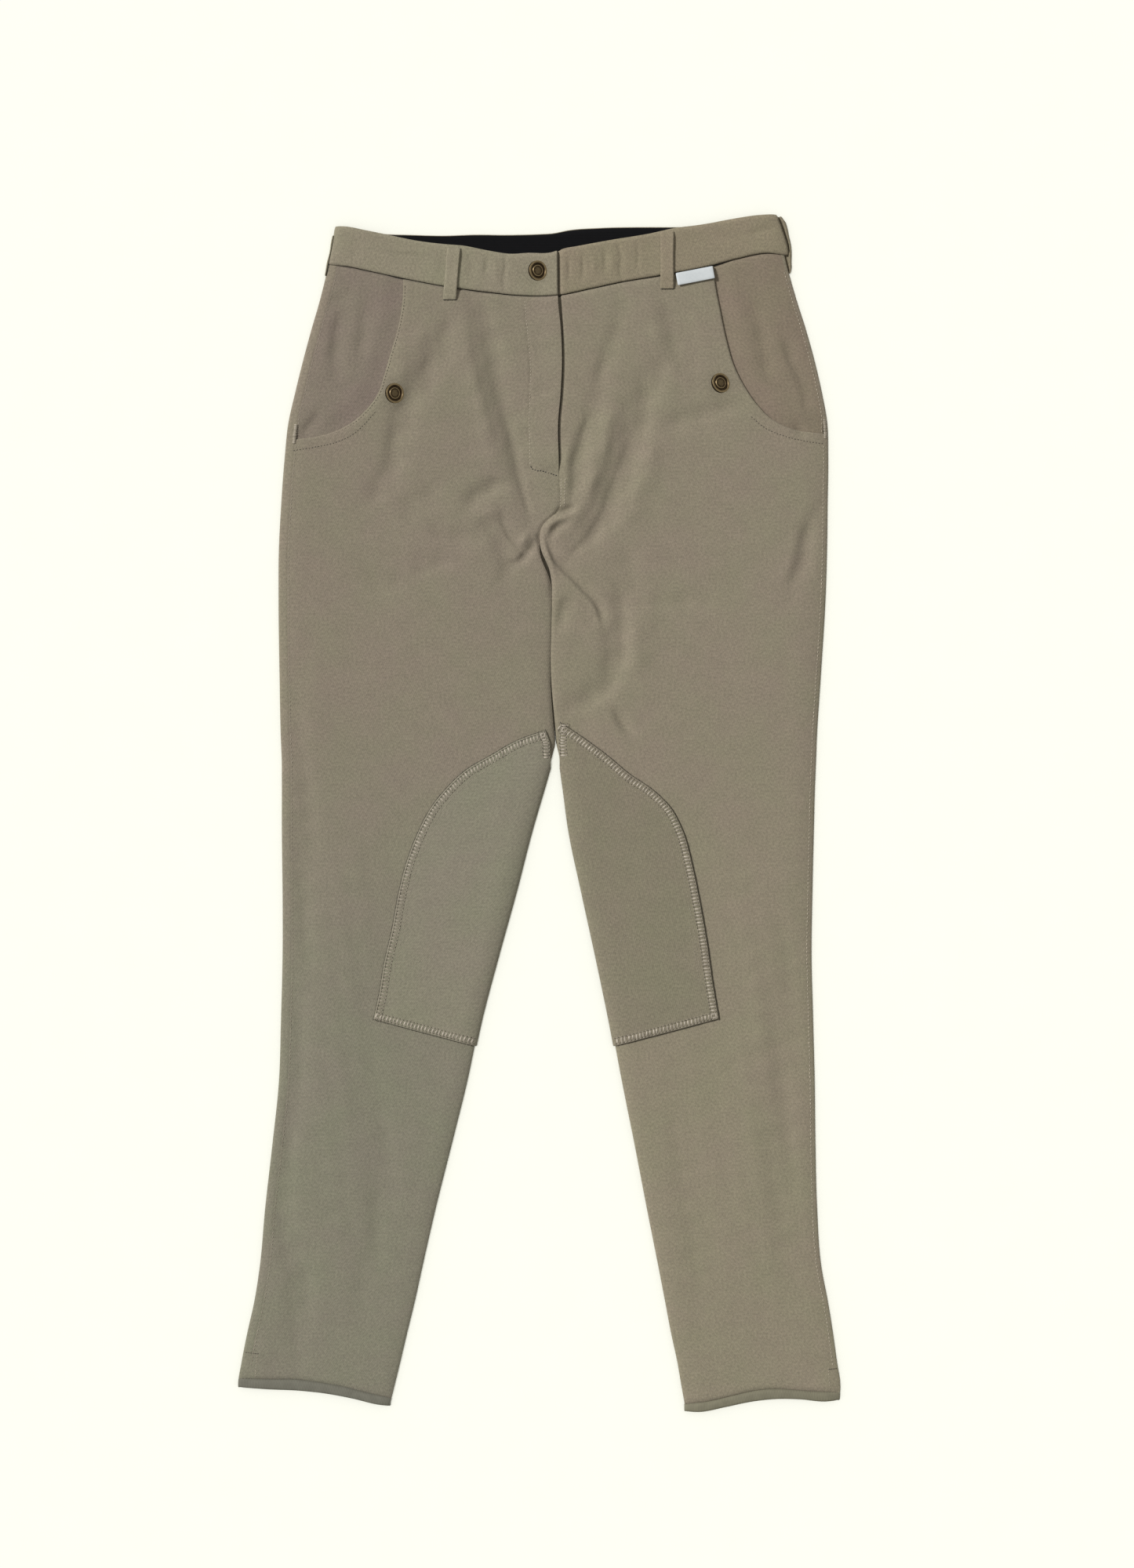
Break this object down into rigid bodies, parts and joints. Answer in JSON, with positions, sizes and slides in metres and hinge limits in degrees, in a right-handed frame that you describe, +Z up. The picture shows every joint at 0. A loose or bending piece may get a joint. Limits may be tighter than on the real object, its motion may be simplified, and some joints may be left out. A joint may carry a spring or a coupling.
{
  "type": "riding breeches",
  "caption": "Riding breeches in khaki stretch twill laid flat: curved pockets, belt loops, shank buttons, knee patches and bound hems.",
  "frame": {"origin": "on the surface that the garment lies on, below the middle of its outline", "axes": "+Z up from that surface, +Y from the hems to the waist, +X toward the wearer's left leg"},
  "size_m": [0.4918, 0.9772, 0.0154],
  "materials": {
    "twill": "soft khaki stretch twill",
    "twill_patch": "soft khaki stretch twill",
    "twill_inset": "soft taupe stretch twill",
    "facing_black": "matt black elastic tape",
    "binding": "grey-green knitted stretch binding",
    "label_white": "smooth white woven tape",
    "antique_brass": "dark antique brass"
  },
  "bodies": {
    "root": {"front_right": "twill", "front_left": "twill", "back_right": "twill", "back_left": "twill", "pocket_inset_right": "twill_inset", "pocket_inset_left": "twill_inset", "knee_patch_right": "twill_patch", "knee_patch_left": "twill_patch", "fly_shield": "twill", "waistband_front_right": "twill", "waistband_front_left": "twill", "waistband_back": "twill", "waistband_facing": "facing_black", "belt_loop_front_right": "twill", "belt_loop_front_left": "twill", "belt_loop_side_right": "twill", "belt_loop_side_left": "twill", "hem_band_right": "binding", "hem_band_left": "binding", "button_waist": "antique_brass", "button_pocket_right": "antique_brass", "button_pocket_left": "antique_brass", "label_tab": "label_white"}
  },
  "joints": []
}
